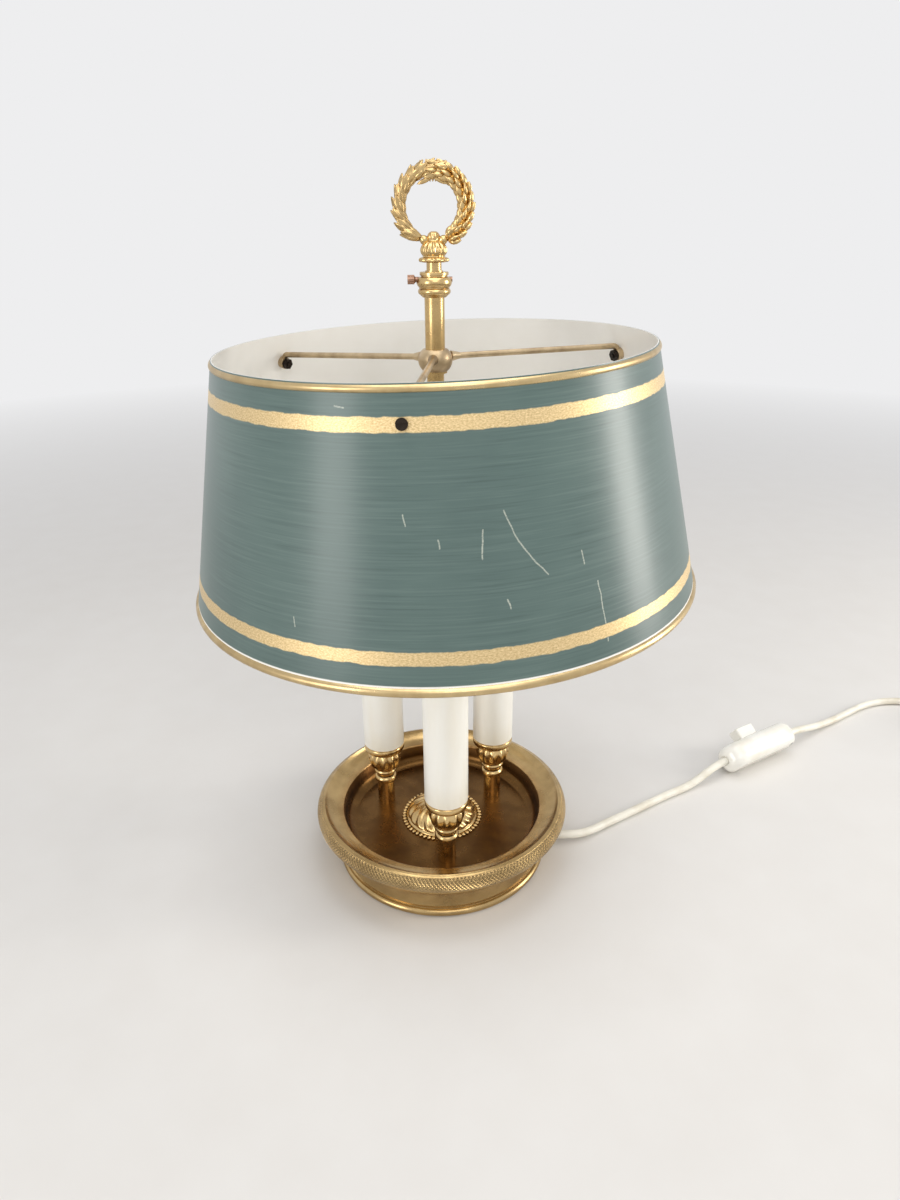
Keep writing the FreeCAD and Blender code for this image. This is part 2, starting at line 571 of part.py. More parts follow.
def arms_and_screws(slope):
    """Three wire arms from the ball, each bent down to an eye that a screw holds to the wall."""
    wire_radius = size("arm_radius")
    gauge = size("shade_gauge")
    screws, nuts = [], []
    ball_holes = []
    for k, which in enumerate(("front", "right", "left")):
        turn = size("arm_turn") + 120 * k
        start = polar(turn, 6.4, size("arm_height"))
        corner = polar(turn, 112.7, size("arm_end_height"))
        frame = screw_frame(k, slope)
        eye_centre = frame.multVec(Vector(0, 0, -gauge - 1.75))
        end = eye_centre + (corner - eye_centre).normalize() * 1.2
        first, second = (corner - start).normalize(), (end - corner).normalize()
        bend = 3.2 * math.tan(first.getAngle(second) / 2)
        before, after = corner - first * bend, corner + second * bend
        middle = corner + (second - first).normalize() * (3.2 / math.cos(first.getAngle(second) / 2) - 3.2)
        path = Part.Wire([Part.LineSegment(start, before).toShape(), Part.Arc(before, middle, after).toShape(),
                          Part.LineSegment(after, end).toShape()])
        section = Part.Wire(Part.makeCircle(wire_radius, start, first))
        wire = path.makePipeShell([section], True, False)
        ferrule = Part.makeCone(2.7, wire_radius + 0.1, 5.0, start + first * 2.6, first)
        eye = Part.makeCylinder(3.4, 3.3, Vector(0, 0, -gauge - 3.4))
        hole = Part.makeCylinder(1.5, 8, Vector(0, 0, -6))
        eye.Placement = hole.Placement = frame
        arm = wire.multiFuse([ferrule, eye]).cut(hole)
        relief = Part.makeSphere(size("ball_radius") + 0.05, Vector(0, 0, size("ball_height")))
        arm = arm.cut(ferrule.common(relief).cut(wire))
        node(shaped("arm_wire_" + which, tilted(arm)), "arm_" + which)
        ball_holes.append(tilted(Part.makeCylinder(wire_radius + 0.05, 6, start - first * 0.3, first)))
        head = Part.makeCylinder(2.6, 1.3, Vector(0, 0, 0.12)).fuse(Part.makeCylinder(1.4, 7.2, Vector(0, 0, -7.0)))
        head = head.cut(Part.makeBox(6, 0.8, 0.7, Vector(-3, -0.4, 0.85), Vector(0, 0, 1)))
        head.Placement = frame
        screws.append(tilted_copy(head))
        nut = nut_shape(5.5, 1.45, -gauge - 5.8, 2.2)
        nut.Placement = frame
        nuts.append(tilted_copy(nut))
    node(shaped("shade_screw_set", Part.makeCompound(screws)), "shade_screws")
    node(shaped("shade_nut_set", Part.makeCompound(nuts)), "shade_nuts")
    low, high = "Size.ball_height - Size.ball_half_height", "Size.ball_height + Size.ball_half_height"
    ball = turned("ball_turning", (
        ("Size.sleeve_tube_radius + Size.running_gap", low), (6.4, low, 7.2, 1),
        (6.4, high), ("Size.sleeve_tube_radius + Size.running_gap", high),
    ))
    doc.recompute()
    node(shaped("ball_casting", ball.Shape.cut(Part.makeCompound(ball_holes))), "arm_ball")


def tilted_copy(shape):
    """The leaned copy of a shape that already stands in a frame of its own."""
    lean = tilted(Part.makeBox(1, 1, 1)).Placement
    copy = shape.copy()
    copy.Placement = lean.multiply(shape.Placement)
    return copy


# Cord: a round two-core flex. It leaves the foot on the right, lies in loose curves to the switch,
# runs on past it, and the rest is put away in a two-layer coil with the plug beside it.
CORD_TO_SWITCH = (
    (67.4, -4.42, 8.6), (80.4, -5.27, 8.2), (97.0, 0.0, 4.6), (116.0, 13.4, 2.8), (140.0, 27.4, 2.8),
    (163.0, 41.6, 2.8), (185.3, 52.9, 2.8), (205.15, 62.94, 12.96), (226.84, 75.36, 12.96),
)
CORD_FROM_SWITCH = (
    (261.56, 95.24, 12.96), (283.25, 107.66, 12.96), (304.5, 122.0, 6.0), (325.0, 135.0, 2.8),
    (345.0, 147.6, 2.8), (366.0, 160.4, 2.8), (388.0, 166.0, 2.8), (406.0, 163.2, 2.8),
    (424.13, 161.37, 2.8), (442.08, 162.82, 2.8),
)
CORD_TO_PLUG = (
    (493.99, 120.78, 9.0), (495.53, 108.88, 9.0), (494.9, 94.6, 7.2), (491.0, 78.0, 4.0),
    (485.0, 61.0, 3.2), (480.2, 47.6, 6.85), (476.4, 36.2, 6.85),
)


def round_run(points, radius):
    """A tube along straight runs joined by tangent arcs; prints its tightest arc and its volume."""
    corners = [Vector(*p) for p in points]
    edges, tightest = [], 1e9
    place = corners[0]
    for before, corner, after in zip(corners, corners[1:], corners[2:]):
        inward, outward = (corner - before), (after - corner)
        half_turn = inward.getAngle(outward) / 2
        reach = 0.45 * min(inward.Length, outward.Length)
        bend = reach / math.tan(half_turn)
        tightest = min(tightest, bend)
        first, second = inward.normalize(), outward.normalize()
        start, end = corner - first * reach, corner + second * reach
        middle = corner + (second - first).normalize() * (bend / math.cos(half_turn) - bend)
        edges += [Part.LineSegment(place, start).toShape(), Part.Arc(start, middle, end).toShape()]
        place = end
    edges.append(Part.LineSegment(place, corners[-1]).toShape())
    return tube(edges, radius, tightest)


def tube(edges, radius, tightest):
    path = Part.Wire(edges)
    start = edges[0].valueAt(edges[0].FirstParameter)
    heading = edges[0].tangentAt(edges[0].FirstParameter)
    section = Part.Wire(Part.makeCircle(radius, start, heading))
    solid = path.makePipeShell([section], True, False)
    wanted = math.pi * radius ** 2 * path.Length
    print(f"cord run {path.Length:.1f} mm, tightest radius {tightest:.1f} mm, volume {solid.Volume / wanted:.4f}")
    return solid


def biarc(start, heading, end, final):
    """Two tangent arcs from a point and heading to another."""
    span = end - start
    total = heading + final
    spread = 2 * (1 - heading.dot(final))
    along = span.dot(total)
    reach = (-along + math.sqrt(along ** 2 + spread * span.dot(span))) / spread
    middle = (start + end + (heading - final) * reach) / 2
    edges = []
    for a, b, control in ((start, middle, start + heading * reach), (middle, end, end - final * reach)):
        weight = (b - a).Length / 2 / reach
        crown = (control * weight + (a + b) / 2) / (weight + 1)
        edges.append(Part.Arc(a, crown, b).toShape())
    return edges


COIL_CENTRE = (452.0, 122.0)
COIL_START = math.radians(96.0)
COIL_OUTER = 41.5
COIL_TURNS = 2.875
COIL_CLIMB = 0.5
COIL_GAP = 0.6


def coil_line(turn):
    """The coil's centre line: in along the floor, up in half a turn, and out again on top."""
    radius = size("cord_radius")
    pitch = 2 * radius + COIL_GAP
    inner = COIL_OUTER - pitch * COIL_TURNS
    share = (turn - COIL_TURNS) / COIL_CLIMB
    if share <= 0:
        reach, height = inner - pitch * share * COIL_CLIMB, radius
    elif share >= 1:
        reach, height = inner + pitch * (share - 1) * COIL_CLIMB, radius + pitch
    else:
        reach = inner - pitch * COIL_CLIMB * share * (1 - share)
        height = radius + pitch * (1 - math.cos(math.pi * share)) / 2
    angle = COIL_START - 2 * math.pi * turn
    return Vector(COIL_CENTRE[0] + reach * math.cos(angle), COIL_CENTRE[1] + reach * math.sin(angle), height)


def coil():
    """Pipe on quarter-turn biarcs, with a straight end of one cord diameter each way."""
    radius = size("cord_radius")
    whole = 2 * COIL_TURNS + COIL_CLIMB
    steps = int(round(whole * 4))
    tiny = 1e-4
    places, headings = [], []
    for k in range(steps + 1):
        turn = whole * k / steps
        places.append(coil_line(turn))
        headings.append((coil_line(turn + tiny) - coil_line(turn - tiny)).normalize())
    headings[0] = Vector(headings[0].x, headings[0].y, 0).normalize()
    headings[-1] = Vector(headings[-1].x, headings[-1].y, 0).normalize()
    lead_in = places[0] - headings[0] * 2 * radius
    lead_out = places[-1] + headings[-1] * 2 * radius
    edges = [Part.LineSegment(lead_in, places[0]).toShape()]
    for k in range(steps):
        edges += biarc(places[k], headings[k], places[k + 1], headings[k + 1])
    edges.append(Part.LineSegment(places[-1], lead_out).toShape())
    line = [e.valueAt(e.FirstParameter + (e.LastParameter - e.FirstParameter) * k / 8)
            for e in edges for k in range(8)]
    near_turn = 40
    least = min((a - b).Length for i, a in enumerate(line) for b in line[i + near_turn:]) - 2 * radius
    print(f"coil ends {lead_in}, {lead_out}; least gap {least:.2f} mm")
    return tube(edges, radius, COIL_OUTER - COIL_TURNS * (2 * radius + COIL_GAP))


def rounded_slab(length, width, bottom, top, corner, upper_edge, lower_edge):
    """A slab about the origin with rounded corners in plan and softened rims."""
    slab = Part.makeBox(length, width, top - bottom, Vector(-length / 2, -width / 2, bottom))
    upright = [e for e in slab.Edges if abs(e.tangentAt(e.FirstParameter).z) > 0.9]
    slab = slab.makeFillet(corner, upright)
    for amount, level in ((upper_edge, top), (lower_edge, bottom)):
        if amount:
            rim = [e for e in slab.Edges if all(abs(v.Z - level) < 1e-6 for v in e.Vertexes)]
            slab = slab.makeFillet(amount, rim)
    return slab


SWITCH_SCREWS = ((-24.0, 5.9), (25.0, -5.9))


def switch():
    """In-line switch of two well rounded shells, with the cord in their seam and a tall button.

    It lies rolled about its length, so that the button leans away to the rear.
    """
    length, width, top = size("switch_length"), size("switch_width"), size("switch_height")
    seam, wall = size("switch_seam"), size("switch_wall")
    along = Vector(1, 0, 0)
    outside = rounded_slab(length, width, 0, top, 11.5, 7.0, 7.0)
    inside = rounded_slab(length - 2 * wall, width - 2 * wall, wall, top - wall, 9.7, 5.2, 5.2)
    bosses = [Part.makeCylinder(2.6, top - 0.9, Vector(x, y, 0.4)) for x, y in SWITCH_SCREWS]
    shell = outside.cut(inside.cut(Part.makeCompound(bosses)))
    cord_holes = [Part.makeCylinder(size("cord_radius") + 0.15, 6, Vector(x, 0, seam), along)
                  for x in (-length / 2 - 1, length / 2 - 5)]
    cord_holes += [Part.makeCylinder(size("cord_radius") + 1.1, 3, Vector(x, 0, seam), along)
                   for x in (-length / 2 - 2.2, length / 2 - 0.8)]
    wells = [Part.makeCylinder(1.5, 13.2, Vector(x, y, -0.2)) for x, y in SWITCH_SCREWS]
    wells += [Part.makeCylinder(2.5, 2.0, Vector(x, y, -0.2)) for x, y in SWITCH_SCREWS]
    shell = shell.cut(Part.makeCompound(cord_holes)).cut(Part.makeCompound(wells))
    mouth_x, mouth_y = size("button_length") + 0.8, size("button_width") + 0.8
    shift = size("button_shift")
    mouth = Part.makeBox(mouth_x, mouth_y, 10, Vector(shift - mouth_x / 2, -mouth_y / 2, top - 6))
    below_seam = Part.makeBox(length, width, seam, Vector(-length / 2, -width / 2, 0))
    lower = shell.common(below_seam)
    upper = shell.cut(below_seam).cut(mouth)
    key = rounded_slab(size("button_length"), size("button_width"), 12.5, top + size("button_rise"), 1.4, 1.1, 0)
    key.translate(along * shift)
    skirt_corner = Vector(shift - mouth_x / 2 - 1.5, -mouth_y / 2 - 1, top - wall - 1.9)
    key = key.fuse(Part.makeBox(mouth_x + 3, mouth_y + 2, 1.6, skirt_corner))
    mechanism = Part.makeBox(37.4, 15, 5.4, Vector(-19.7, -7.5, 3.6))
    screws = []
    for x, y in SWITCH_SCREWS:
        screw = Part.makeCylinder(2.3, 1.4, Vector(x, y, 0.3)).fuse(Part.makeCylinder(1.4, 10.5, Vector(x, y, 1.6)))
        screws.append(screw.cut(Part.makeBox(6, 0.7, 0.9, Vector(x - 3, y - 0.35, 0.2))))
    spot = Placement(Vector(size("switch_x"), size("switch_y"), size("switch_axis")),
                     Rotation(Vector(0, 0, 1), size("switch_turn")))
    spot = spot.multiply(Placement(Vector(), Rotation(along, -size("switch_roll"))))
    spot = spot.multiply(Placement(Vector(0, 0, -seam), Rotation()))
    pieces = (("switch_lower_shell", lower), ("switch_upper_shell", upper), ("switch_button", key),
              ("switch_mechanism", mechanism), ("switch_screws", Part.makeCompound(screws)))
    for label, shape in pieces:
        feature = shaped(label + "_moulding", shape)
        feature.Placement = spot
        node(feature, label)


PLUG_SLEEVE = 24.0


def plug(place, heading):
    """Flat two-pin plug lying on the floor, with a ribbed tapering sleeve on the cord."""
    length, width, depth = size("plug_length"), size("plug_width"), size("plug_depth")
    radius = size("cord_radius")
    body = rounded_slab(length, width, 0, depth, 6.0, 3.0, 3.0)
    body.translate(Vector(length / 2 + PLUG_SLEEVE, 0, 0))
    sleeve = Part.makeCone(radius + 0.9, radius + 2.4, PLUG_SLEEVE, Vector(0, 0, depth / 2), Vector(1, 0, 0))
    ribs = [Part.makeTorus(radius + 2.6, 0.7, Vector(4 + 4 * k, 0, depth / 2), Vector(1, 0, 0)) for k in range(5)]
    sleeve = sleeve.cut(Part.makeCompound(ribs))
    pins = []
    for y in (-9.3, 9.3):
        start = Vector(PLUG_SLEEVE + length - 6, y, depth / 2)
        pin = Part.makeCylinder(2.0, 25, start, Vector(1, 0, 0))
        edge = [e for e in pin.Edges if abs(e.BoundBox.XMin - start.x - 25) < 1e-6]
        pins.append(pin.makeFillet(1.2, edge[:1]))
        body = body.cut(Part.makeCylinder(2.0, 26, start, Vector(1, 0, 0)))
    spot = Placement(Vector(place.x, place.y, 0),
                     Rotation(Vector(0, 0, 1), math.degrees(math.atan2(heading.y, heading.x))))
    for label, shape in (("plug_body", body), ("plug_sleeve", sleeve), ("plug_pins", Part.makeCompound(pins))):
        feature = shaped(label + "_moulding", shape)
        feature.Placement = spot
        node(feature, label)


def cord():
    """The four lengths of flex, the switch between two of them and the plug at the end."""
    radius = size("cord_radius")
    switch()
    node(shaped("cord_to_switch_flex", round_run(CORD_TO_SWITCH, radius)), "cord_to_switch")
    node(shaped("cord_to_coil_flex", round_run(CORD_FROM_SWITCH, radius)), "cord_to_coil")
    node(shaped("cord_coil_flex", coil()), "cord_coil")
    node(shaped("cord_to_plug_flex", round_run(CORD_TO_PLUG, radius)), "cord_to_plug")
    before, end = Vector(*CORD_TO_PLUG[-2]), Vector(*CORD_TO_PLUG[-1])
    plug(end, end - before)


def write_out():
    """Checks every object, then writes each sub-part."""
    doc.recompute()
    for thing in doc.Objects:
        if "Invalid" in thing.State or "Error" in thing.State:
            raise RuntimeError(f"{thing.Name} is {thing.State}")
    os.makedirs("parts", exist_ok=True)
    for thing in NODES:
        shape = thing.Shape
        if shape.isNull() or not shape.isValid():
            raise RuntimeError(f"{thing.Label} has no valid shape")
        print(f"{thing.Label}: {len(shape.Solids)} solid, {shape.Volume / 1000:.2f} cm3")
        shape.exportStep(f"parts/{thing.Label}.step")


dish()
inside_the_foot()
stem_and_rod()
handle()
rosette()
for position, position_turn in CANDLE_TURNS.items():
    candle(position, position_turn)
carrier()
arms_and_screws(shade())
cord()
write_out()
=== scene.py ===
import math

import bmesh
import bpy
from mathutils import Matrix, Vector


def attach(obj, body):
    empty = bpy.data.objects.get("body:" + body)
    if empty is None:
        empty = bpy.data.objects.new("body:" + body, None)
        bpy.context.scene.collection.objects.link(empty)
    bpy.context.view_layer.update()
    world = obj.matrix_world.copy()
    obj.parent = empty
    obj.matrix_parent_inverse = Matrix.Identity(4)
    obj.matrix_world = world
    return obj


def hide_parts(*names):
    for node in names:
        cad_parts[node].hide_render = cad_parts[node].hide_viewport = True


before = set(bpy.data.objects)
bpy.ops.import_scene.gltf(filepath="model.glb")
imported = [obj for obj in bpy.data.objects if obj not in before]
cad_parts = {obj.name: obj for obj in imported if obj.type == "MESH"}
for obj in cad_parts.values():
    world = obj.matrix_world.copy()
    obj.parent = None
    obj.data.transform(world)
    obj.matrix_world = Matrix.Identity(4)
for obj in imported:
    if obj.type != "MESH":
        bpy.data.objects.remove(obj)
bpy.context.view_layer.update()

MM = 0.001


# The camera stands a little above the lamp and looks down at it, as in the photograph: a wide lens,
# close by, in a frame of 900 by 1200.
FRAME_HEIGHT = 1200
FOCAL_PIXELS = 832
CAMERA_PLACE = Vector((-0.0008, -0.4475, 0.3846))
CAMERA_PITCH = math.radians(24.51)
CAMERA_YAW = math.radians(0.95)
CAMERA_ROLL = math.radians(-0.47)
camera_data = bpy.data.cameras.new("camera")
camera_data.sensor_fit = "VERTICAL"
camera_data.sensor_height = 36
camera_data.lens = camera_data.sensor_height * FOCAL_PIXELS / FRAME_HEIGHT
camera_data.clip_start = 0.01
camera = bpy.data.objects.new("camera", camera_data)
bpy.context.collection.objects.link(camera)
facing = (Matrix.Rotation(-CAMERA_YAW, 3, "Z") @ Matrix.Rotation(math.pi / 2 - CAMERA_PITCH, 3, "X")
          @ Matrix.Rotation(CAMERA_ROLL, 3, "Z"))
camera.rotation_euler = facing.to_euler()
camera.location = CAMERA_PLACE
bpy.context.scene.camera = camera
bpy.context.scene.view_settings.view_transform = "Standard"


# Finishes are node materials on the surface's own place in the lamp. A value from a socket takes
# part in sums as a number does, and any other node comes from Finish.add.
class Value:
    """A socket's value; a sum with it adds a Math node."""

    def __init__(self, finish, socket):
        self.finish, self.socket = finish, socket

    def __add__(self, other):
        return self.finish.sum("ADD", self, other)

    __radd__ = __add__

    def __sub__(self, other):
        return self.finish.sum("SUBTRACT", self, other)

    def __rsub__(self, other):
        return self.finish.sum("SUBTRACT", other, self)

    def __mul__(self, other):
        return self.finish.sum("MULTIPLY", self, other)

    __rmul__ = __mul__

    def __truediv__(self, other):
        return self.finish.sum("DIVIDE", self, other)


class Finish:
    """A surface finish, built up on one Principled shader."""

    def __init__(self, name, **constants):
        self.material = bpy.data.materials.new(name)
        self.material.use_nodes = True
        self.nodes = self.material.node_tree.nodes
        self.links = self.material.node_tree.links
        self.shader = self.nodes["Principled BSDF"]
        for socket, value in constants.items():
            self.shader.inputs[socket.replace("_", " ")].default_value = value
        self.place = self.add("ShaderNodeTexCoord", out="Object")

    def feed(self, socket, value):
        if isinstance(value, Value):
            self.links.new(value.socket, socket)
        else:
            socket.default_value = value

    def add(self, kind, settings=None, sockets=None, out=0):
        """A new node of a kind, with its settings made first and then its sockets fed."""
        node = self.nodes.new(kind)
        for name, value in (settings or {}).items():
            setattr(node, name, value)
        for name, value in (sockets or {}).items():
            self.feed(node.inputs[name], value)
        return Value(self, node.outputs[out])

    def sum(self, operation, first, second=0.0, clamp=False):
        settings = {"operation": operation, "use_clamp": clamp}
        return self.add("ShaderNodeMath", settings, {0: first, 1: second})

    def clamp(self, value):
        return self.sum("ADD", value, 0.0, clamp=True)

    def step(self, value, low, high):
        """0 below low, 1 above high, straight between."""
        sockets = {0: value, 1: low, 2: high, 3: 0.0, 4: 1.0}
        return self.add("ShaderNodeMapRange", {"clamp": True}, sockets)

    def noise(self, scale, detail=4.0, place=None, rough=0.5):
        sockets = {"Vector": place or self.place, "Scale": scale, "Detail": detail, "Roughness": rough}
        return self.add("ShaderNodeTexNoise", None, sockets)

    def stretched(self, x, y, z):
        return self.add("ShaderNodeMapping", None, {"Vector": self.place, "Scale": (x, y, z)})

    def axes(self, place=None):
        split = self.add("ShaderNodeSeparateXYZ", None, {0: place or self.place})
        return [Value(self, output) for output in split.socket.node.outputs]

    def joined(self, x, y, z):
        return self.add("ShaderNodeCombineXYZ", None, {0: x, 1: y, 2: z})

    def mix(self, share, first, second):
        """First where the share is 0, second where it is 1; both are colours."""
        return self.add("ShaderNodeMix", {"data_type": "RGBA"}, {0: share, 6: first, 7: second}, out=2)

    def bump(self, height, depth, strength):
        sockets = {"Height": height, "Distance": depth, "Strength": strength}
        normal = self.add("ShaderNodeBump", None, sockets)
        self.feed(self.shader.inputs["Normal"], normal)

    def set(self, **sockets):
        for name, value in sockets.items():
            self.feed(self.shader.inputs[name.replace("_", " ")], value)


def tone(red, green, blue):
    """A colour written in the usual 0 to 255 steps, as the shader's linear light."""
    return tuple(((c / 255 + 0.055) / 1.055) ** 2.4 for c in (red, green, blue)) + (1.0,)


def dress(finish, *nodes):
    for name in nodes:
        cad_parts[name].data.materials.clear()
        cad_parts[name].data.materials.append(finish.material)


# The flex is a round white sheath. It lies from the foot to the in-line switch and on past it, and
# the length that is put away is wound into a neat coil of two layers, with the plug beside it.
CORD_REST = 2.8
CORD_RADIUS = CORD_REST * MM
CORD_TO_SWITCH = (
    (67.4, -4.42, 8.6), (80.4, -5.27, 8.2), (97.0, 0.0, 4.6), (116.0, 13.4, 2.8), (140.0, 27.4, 2.8),
    (163.0, 41.6, 2.8), (185.3, 52.9, 2.8), (205.15, 62.94, 12.96), (226.84, 75.36, 12.96),
)
CORD_FROM_SWITCH = (
    (261.56, 95.24, 12.96), (283.25, 107.66, 12.96), (304.5, 122.0, 6.0), (325.0, 135.0, 2.8),
    (345.0, 147.6, 2.8), (366.0, 160.4, 2.8), (388.0, 166.0, 2.8), (406.0, 163.2, 2.8),
    (424.13, 161.37, 2.8), (442.08, 162.82, 2.8),
)
# Inside the switch the cord keeps below the button's travel.
CORD_THROUGH_SWITCH = ((232.36, 75.79, 11.30), (250.59, 86.22, 11.30))
CORD_TO_PLUG = (
    (493.99, 120.78, 9.0), (495.53, 108.88, 9.0), (494.9, 94.6, 7.2), (491.0, 78.0, 4.0),
    (485.0, 61.0, 3.2), (480.2, 47.6, 6.85), (476.4, 36.2, 6.85),
)
COIL_CENTRE = (452.0, 122.0)
COIL_START = math.radians(96.0)
COIL_OUTER, COIL_TURNS, COIL_CLIMB, COIL_PITCH = 41.5, 2.875, 0.5, 6.2
COIL_POINTS_PER_TURN = 16


def coil_point(turn):
    """The coil's middle line: in along the floor, up in half a turn, and out again on top."""
    inner = COIL_OUTER - COIL_PITCH * COIL_TURNS
    share = (turn - COIL_TURNS) / COIL_CLIMB
    if share <= 0:
        reach, height = inner - COIL_PITCH * share * COIL_CLIMB, CORD_REST
    elif share >= 1:
        reach, height = inner + COIL_PITCH * (share - 1) * COIL_CLIMB, CORD_REST + COIL_PITCH
    else:
        reach = inner - COIL_PITCH * COIL_CLIMB * share * (1 - share)
        height = CORD_REST + COIL_PITCH * (1 - math.cos(math.pi * share)) / 2
    angle = COIL_START - 2 * math.pi * turn
    return (COIL_CENTRE[0] + reach * math.cos(angle), COIL_CENTRE[1] + reach * math.sin(angle), height)


whole_turns = 2 * COIL_TURNS + COIL_CLIMB
coil_steps = int(whole_turns * COIL_POINTS_PER_TURN)
route = list(CORD_TO_SWITCH + CORD_THROUGH_SWITCH + CORD_FROM_SWITCH)
route += [coil_point(whole_turns * k / coil_steps) for k in range(coil_steps + 1)]
route += list(CORD_TO_PLUG)
flex_curve = bpy.data.curves.new("mains_flex", "CURVE")
flex_curve.dimensions = "3D"
flex_curve.bevel_depth = CORD_RADIUS
flex_curve.bevel_resolution = 5
flex_curve.resolution_u = 6
flex_line = flex_curve.splines.new("NURBS")
flex_line.points.add(len(route) - 1)
for point, place in zip(flex_line.points, route):
    point.co = (*(c * MM for c in place), 1.0)
flex_line.order_u = 3
flex_line.use_endpoint_u = True
flex = bpy.data.objects.new("mains_flex", flex_curve)
bpy.context.collection.objects.link(flex)
sheath = Finish("white_flex", Roughness=0.42, Coat_Weight=0.15)
soil = sheath.step(sheath.noise(60.0, 5.0), 0.42, 0.75)
sheath.set(Base_Color=sheath.mix(soil, tone(236, 232, 219), tone(214, 205, 184)))
sheath.bump(sheath.noise(900.0, 2.0), 0.00006, 0.5)
flex_curve.materials.append(sheath.material)
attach(flex, "base")
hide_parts("cord_to_switch", "cord_to_coil", "cord_coil", "cord_to_plug")
dress(sheath, "inner_lead", "plug_sleeve")


# The in-line switch and the plug are moulded in the same glossy white plastic, a little yellowed in
# patches. The plug's two pins are nickel plated.
moulded = Finish("white_gloss", Coat_Weight=0.5, Coat_Roughness=0.06)
handled = moulded.step(moulded.noise(45.0, 6.0), 0.45, 0.8)
moulded.set(Base_Color=moulded.mix(handled, tone(240, 238, 230), tone(224, 217, 200)),
            Roughness=moulded.noise(220.0, 3.0) * 0.10 + 0.13)
moulded.bump(moulded.noise(140.0, 2.0), 0.00004, 0.4)
dress(moulded, "switch_lower_shell", "switch_upper_shell", "switch_button", "plug_body")
nickel = Finish("nickel_plate", Metallic=1.0)
plated = nickel.noise(500.0, 4.0)
nickel.set(Base_Color=nickel.mix(plated, tone(206, 200, 186), tone(176, 168, 150)),
           Roughness=plated * 0.2 + 0.16)
dress(nickel, "plug_pins")


# The lamp stands on a plain pale floor under soft studio light. Two tall softboxes give the shade its
# upright highlights, one large lamp hangs overhead and one stands behind the camera. Far away the
# floor fades into the pale background.
bpy.ops.object.select_all(action="DESELECT")
FLOOR_SIZE, FLOOR_HEIGHT = 16, -0.0004
FADE_START, FADE_END = 0.6, 1.9
AIM = Vector((0, 0, 0.2))
BACKGROUND = tone(238, 238, 239)
bpy.ops.mesh.primitive_plane_add(size=FLOOR_SIZE, location=(0, 0, FLOOR_HEIGHT))
floor = bpy.context.object
floor.name = "studio_floor"
pale = Finish("pale_floor", Roughness=0.75)
speckle = pale.noise(30.0, 3.0)
pale.set(Base_Color=pale.mix(speckle, tone(226, 224, 221), tone(221, 218, 214)))
x, y, z = pale.axes()
far_away = pale.step(pale.sum("SQRT", x * x + y * y), FADE_START, FADE_END)
haze = pale.nodes.new("ShaderNodeEmission")
haze.inputs["Color"].default_value = BACKGROUND
faded = pale.nodes.new("ShaderNodeMixShader")
pale.feed(faded.inputs[0], far_away)
pale.links.new(pale.shader.outputs[0], faded.inputs[1])
pale.links.new(haze.outputs[0], faded.inputs[2])
pale.links.new(faded.outputs[0], pale.nodes["Material Output"].inputs["Surface"])
floor.data.materials.append(pale.material)
# Each lamp's name, place, width and height in metres, power in watts and colour.
STUDIO_LAMPS = (
    ("left_softbox", (-1.10, -1.02, 0.42), (0.5, 0.95), 7.0, (1.0, 0.98, 0.95)),
    ("right_softbox", (1.30, -0.02, 0.40), (0.36, 0.9), 9.5, (1.0, 0.96, 0.90)),
    ("overhead_lamp", (0.0, -0.2, 1.7), (1.4, 1.4), 14.0, (1.0, 1.0, 1.0)),
    ("camera_lamp", (0.2, -1.4, 1.3), (1.0, 1.0), 6.0, (1.0, 0.97, 0.93)),
)
for name, place, (width, height), power, colour in STUDIO_LAMPS:
    lamp_data = bpy.data.lights.new(name, "AREA")
    lamp_data.shape = "RECTANGLE"
    lamp_data.size, lamp_data.size_y, lamp_data.energy, lamp_data.color = width, height, power, colour
    lamp = bpy.data.objects.new(name, lamp_data)
    bpy.context.collection.objects.link(lamp)
    lamp.location = place
    lamp.rotation_euler = (AIM - Vector(place)).to_track_quat("-Z", "Y").to_euler()
world = bpy.data.worlds.new("studio")
world.use_nodes = True
bpy.context.scene.world = world
world_nodes, world_links = world.node_tree.nodes, world.node_tree.links
ambient = world_nodes["Background"]
ambient.inputs["Color"].default_value = tone(236, 237, 240)
ambient.inputs["Strength"].default_value = 0.45
backdrop = world_nodes.new("ShaderNodeBackground")
backdrop.inputs["Color"].default_value = BACKGROUND
rays = world_nodes.new("ShaderNodeLightPath")
seen = rays.outputs["Is Camera Ray"]
for other in ("Is Glossy Ray", "Is Transmission Ray"):
    either = world_nodes.new("ShaderNodeMath")
    either.use_clamp = True
    world_links.new(seen, either.inputs[0])
    world_links.new(rays.outputs[other], either.inputs[1])
    seen = either.outputs[0]
chosen = world_nodes.new("ShaderNodeMixShader")
for socket, source in enumerate((seen, ambient.outputs[0], backdrop.outputs[0])):
    world_links.new(source, chosen.inputs[socket])
world_links.new(chosen.outputs[0], world_nodes["World Output"].inputs["Surface"])


# Brass: polished on the stem and the castings, dull on the arms, and pinkish on the two small screws.
# Each use of it has its own colour and wear, in clouds of tarnish over a fine grain.
def brass(name, bright, dark, rough, tarnish=0.5):
    metal = Finish(name, Metallic=1.0)
    cloud = metal.noise(38.0, 6.0, rough=0.6)
    patch = metal.noise(130.0, 4.0)
    worn = metal.step(cloud * 0.65 + patch * 0.35, 0.40, 0.66)
    metal.set(Base_Color=metal.mix(worn * tarnish, bright, dark),
              Roughness=worn * 0.12 + patch * 0.06 + rough)
    metal.bump(metal.noise(700.0, 3.0), 0.00005, 0.35)
    return metal


